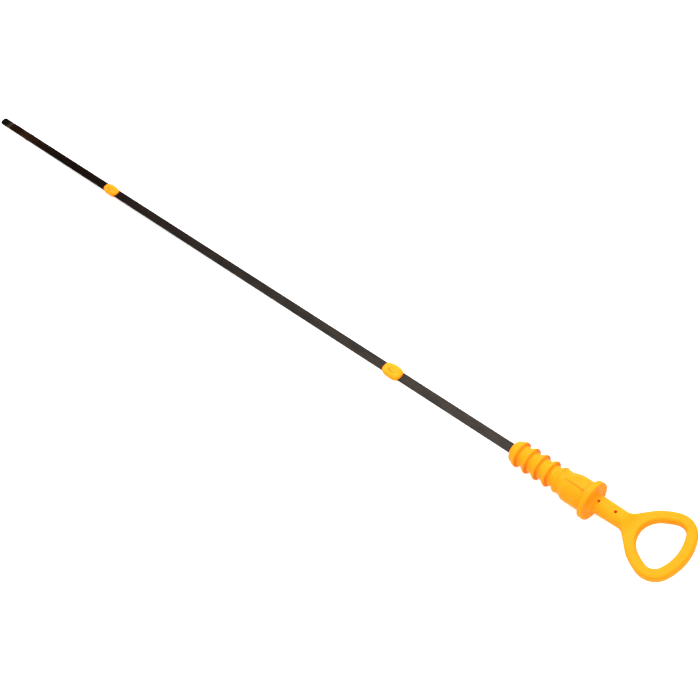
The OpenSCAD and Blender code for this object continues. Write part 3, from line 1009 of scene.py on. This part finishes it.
def ramp(tree, value, stops):
    """A colour ramp over a value: each stop is (place, colour)."""
    node = add(tree, "ShaderNodeValToRGB", {"Fac": value})
    while len(node.color_ramp.elements) < len(stops):
        node.color_ramp.elements.new(0.5)
    for element, (place, colour) in zip(node.color_ramp.elements, stops):
        element.position, element.color = place, (*colour, 1)
    return node.outputs["Color"]


def span(tree, value, low, high, start=0.0, stop=1.0):
    """A value's span from low to high, turned evenly into one from start to stop."""
    limits = {"Value": value, "From Min": low, "From Max": high, "To Min": start, "To Max": stop}
    return add(tree, "ShaderNodeMapRange", limits).outputs["Result"]


def blend_colours(tree, share, first, second, way="MIX"):
    """Two colours mixed by a share."""
    sockets = {MIX_SHARE: share, MIX_FIRST: first, MIX_SECOND: second}
    return add(tree, "ShaderNodeMix", sockets, data_type="RGBA", blend_type=way).outputs[MIX_COLOUR]


def bump(tree, height, strength, distance):
    """A normal tilted by the slope of a height."""
    settings = {"Height": height, "Strength": strength, "Distance": distance}
    return add(tree, "ShaderNodeBump", settings).outputs["Normal"]


print("sockets of a colour mix: share", MIX_SHARE, "colours", MIX_FIRST, MIX_SECOND, "result", MIX_COLOUR)

# %% [markdown]
# ## Orange plastic
# Handle and guides are a satin orange with a faint mottling from the mould. A little light
# goes into the plastic and comes out again, which softens its shading. A plain orange would
# look like paint, so the shader lets light scatter about a millimetre deep. Colour and gloss
# follow the broad mottling, and the stored painted shade turns the colour brown in hollows.
# Three shades of one finish are made, because in the photograph the upper guide is a little
# paler and the lower one a little redder: a painted highlight and painted shade on one plastic.

# %% The plastic's finish
# The brown that painted shade mixes into the plastic's colour in hollows.
PAINTED_SHADE_BROWN = (0.10, 0.045, 0.003, 1)


def orange_plastic(name, light, deep):
    """Satin plastic between two oranges."""
    material, tree, shader, where = finish(name)
    mottle = use_group(tree, SKIN, where)
    plastic = ramp(tree, mottle.outputs["Mask"], [(0.3, deep), (0.7, light)])
    # Painted shade: the stored amount turns the colour brown where shade falls.
    shade_amount = add(tree, "ShaderNodeAttribute", attribute_name="painted_shade").outputs["Fac"]
    tree.links.new(blend_colours(tree, shade_amount, plastic, PAINTED_SHADE_BROWN), shader.inputs["Base Color"])
    tree.links.new(span(tree, mottle.outputs["Mask"], 0.0, 1.0, 0.48, 0.58), shader.inputs["Roughness"])
    tree.links.new(bump(tree, mottle.outputs["Height"], 0.12, 0.00006), shader.inputs["Normal"])
    shader.inputs["Subsurface Weight"].default_value = 0.15
    shader.inputs["Subsurface Radius"].default_value = (1.0, 0.45, 0.1)
    shader.inputs["Subsurface Scale"].default_value = 0.0012
    shader.inputs["IOR"].default_value = 1.5
    shader.inputs["Specular IOR Level"].default_value = 0.05
    return material


# The guides are one plastic: the upper guide's paler copy is a painted highlight, the lower guide's redder
# copy is painted shade.
for piece_name, name, light, deep in (
        ("handle_skin", "handle plastic", (0.95, 0.232, 0.005), (0.92, 0.212, 0.003)),
        ("upper_guide_skin", "upper guide plastic", (0.95, 0.245, 0.007), (0.92, 0.225, 0.004)),
        ("lower_guide_skin", "lower guide plastic", (0.95, 0.212, 0.004), (0.92, 0.19, 0.003))):
    bpy.data.objects[piece_name].data.materials.append(orange_plastic(name, light, deep))
    print(piece_name, "wears", name)

# %% [markdown]
# ## Blackened steel
# The strip is rolled steel under a dark oxide, with grain along its length. Near the tip it
# has stood in hot oil: the tip is nearly black, the low mark is rubbed bare, and brown
# varnish lies between the marks. Towards the handle the oxide is dry and paler, and part of
# that paler tone is a painted reflection of the lights. An image could hold all that, but a
# colour ramp along X is sharp at any distance and says where each zone ends. Blotches break
# it up, and the edges are scuffed where they rub in the tube.

# %% The strip's finish
OIL_AND_REFLECTION_TONES = [
    (0.0, (0.0024, 0.0017, 0.0008)), (0.0175, (0.0024, 0.0016, 0.0006)),   # the tip
    (0.0195, (0.017, 0.010, 0.0075)), (0.025, (0.017, 0.010, 0.0075)),     # the low mark
    (0.027, (0.0052, 0.0015, 0.0003)), (0.045, (0.0055, 0.0016, 0.0003)),  # varnish
    (0.066, (0.0135, 0.0054, 0.0018)), (0.075, (0.0078, 0.0028, 0.0009)),  # the full mark
    (0.13, (0.0032, 0.0014, 0.0007)), (0.24, (0.0032, 0.0014, 0.0008)),    # oiled oxide
    # Dry oxide and by the handle: paler partly from drier oxide, partly as a painted reflection.
    (0.34, (0.0065, 0.0034, 0.0027)), (0.62, (0.0085, 0.0058, 0.0038)),    # dry oxide
    (0.96, (0.0155, 0.0105, 0.0075)),                                      # by the handle
]
TONES_END_X, SCUFF_FROM_Y, SCUFF_FULL_Y = -50.0, STRIP_W / 2 - 0.28, STRIP_W / 2 - 0.04
BLOTCHES = [(0.32, (0.6, 0.6, 0.62)), (0.68, (1.5, 1.42, 1.35))]
SCUFFED_STEEL = (0.05, 0.045, 0.04, 1)


def blackened_steel():
    """Dark oxide over rolled steel, from the oiled tip to the dry end, whose paler tone is partly a painted
    reflection, with lines along X.
    """
    material, tree, shader, where = finish("blackened steel")
    grain = use_group(tree, GRAIN, where)
    place = add(tree, "ShaderNodeSeparateXYZ", {"Vector": where})
    along = span(tree, place.outputs["X"], TIP_X * MM, TONES_END_X * MM)
    blotched = ramp(tree, grain.outputs["Blotches"], BLOTCHES)
    oxide = blend_colours(tree, 1.0, ramp(tree, along, OIL_AND_REFLECTION_TONES), blotched, "MULTIPLY")
    across = add(tree, "ShaderNodeMath", {0: place.outputs["Y"]}, operation="ABSOLUTE").outputs[0]
    rim = span(tree, across, SCUFF_FROM_Y * MM, SCUFF_FULL_Y * MM)
    patches = span(tree, grain.outputs["Blotches"], 0.42, 0.6, 0.0, 0.4)
    worn = add(tree, "ShaderNodeMath", {0: rim, 1: patches}, operation="MULTIPLY").outputs[0]
    tree.links.new(blend_colours(tree, worn, oxide, SCUFFED_STEEL), shader.inputs["Base Color"])
    tree.links.new(span(tree, grain.outputs["Lines"], 0.3, 0.7, 0.38, 0.6), shader.inputs["Roughness"])
    tree.links.new(bump(tree, grain.outputs["Lines"], 0.25, 0.00005), shader.inputs["Normal"])
    tree.links.new(span(tree, along, 0.2, 1.0, 0.008, 0.085), shader.inputs["Specular IOR Level"])
    return material


strip.data.materials.append(blackened_steel())
print("finishes:", [m.name for m in bpy.data.materials if m.users])

# %% [markdown]
# ## Floor
# The dipstick lies on a plain pale table. It touches the table with the flange's rim and the
# strip's tip, so its axis isn't quite level. The solids stay where the drawing has them, and
# the floor is turned by that angle instead. In the photograph the table is burnt out to
# white and shows no shadow. A very strong light would do that, but would bleach the plastic
# too, so this table gives off a little light of its own.

# %% The table
FLOOR_HALF, FLOOR_GAP = 2500, 0.03


def floor_piece():
    """A large square, a hair's breadth below the underside of the flange's rim and of the strip's tip."""
    rim = Vector((FLANGE_T / 2, 0, -FLANGE_R))
    tip = Vector((TIP_X, 0, -STRIP_T / 2))
    along = (rim - tip).normalized()
    down = along.cross(Vector((0, 1, 0))).normalized()
    middle = (rim + tip) / 2 + down * FLOOR_GAP
    signs = ((-1, -1), (1, -1), (1, 1), (-1, 1))
    corners = [middle + (along * a + Vector((0, b, 0))) * FLOOR_HALF for a, b in signs]
    piece = make_piece("floor", [tuple(c) for c in corners], [(0, 1, 2, 3)])
    material, tree, shader, where = finish("pale table")
    fleck = noise(tree, where, 900.0, 2.0, 0.5)
    pale = ramp(tree, fleck, [(0.35, (0.71, 0.71, 0.71)), (0.65, (0.73, 0.73, 0.73))])
    tree.links.new(pale, shader.inputs["Base Color"])
    shader.inputs["Emission Color"].default_value = (1, 1, 1, 1)
    shader.inputs["Emission Strength"].default_value = 0.4
    shader.inputs["Roughness"].default_value = 0.9
    shader.inputs["Specular IOR Level"].default_value = 0.1
    piece.data.materials.append(material)
    return piece


floor = floor_piece()

# %% [markdown]
# ## Light
# The light is that of a product table: a bright pale room, a large soft light above the far
# side, towards the tip, and a weaker one from the front, so that the side facing the camera
# is only a little deeper in colour than the top. A sun would be simpler, but its edges are
# hard, and the photograph has none.

# %% Lights and room
def soft_light(name, at, towards, size, watts):
    """A square white area light at a place, facing another."""
    data = bpy.data.lights.new(name, "AREA")
    data.shape, data.size, data.energy = "SQUARE", size, watts
    light = bpy.data.objects.new(name, data)
    bpy.context.scene.collection.objects.link(light)
    light.location = at
    light.rotation_euler = (Vector(towards) - Vector(at)).to_track_quat("-Z", "Y").to_euler()
    return light


soft_light("key", (-0.55, 0.5, 1.05), (-0.05, 0, 0), 0.9, 25.5)
soft_light("front", (0.5, -0.5, 0.9), (-0.1, 0, 0), 0.9, 8.0)
world = bpy.data.worlds.new("pale room")
world.use_nodes = True
background = world.node_tree.nodes["Background"]
background.inputs["Color"].default_value = (1, 1, 1, 1)
background.inputs["Strength"].default_value = 1.0
bpy.context.scene.world = world
bpy.context.scene.view_settings.view_transform = "Standard"
